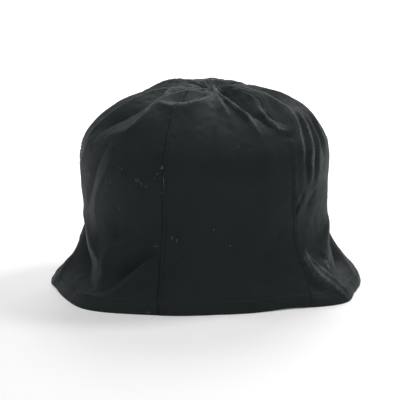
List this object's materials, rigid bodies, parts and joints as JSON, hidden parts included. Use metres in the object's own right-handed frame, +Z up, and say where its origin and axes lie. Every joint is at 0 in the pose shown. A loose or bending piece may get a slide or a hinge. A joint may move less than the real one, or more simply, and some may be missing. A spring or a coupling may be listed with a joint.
{
  "type": "rain hat",
  "caption": "Soft rain hat of dark coated cloth: a deep rounded crown that runs straight into a short flared brim with a turned, stitched edge.",
  "frame": {"origin": "centre of the footprint, on the surface that the brim's edge rests on", "axes": "+Z up, -Y towards the hat's front, +X to the right seen from the front"},
  "size_m": [0.2319, 0.219, 0.1526],
  "materials": {
    "coated_cotton": "dark green-black coated cotton, matt with a faint sheen on raised folds"
  },
  "bodies": {
    "root": {"gore_front": "coated_cotton", "gore_front_right": "coated_cotton", "gore_back_right": "coated_cotton", "gore_back": "coated_cotton", "gore_back_left": "coated_cotton", "gore_front_left": "coated_cotton"}
  },
  "joints": []
}
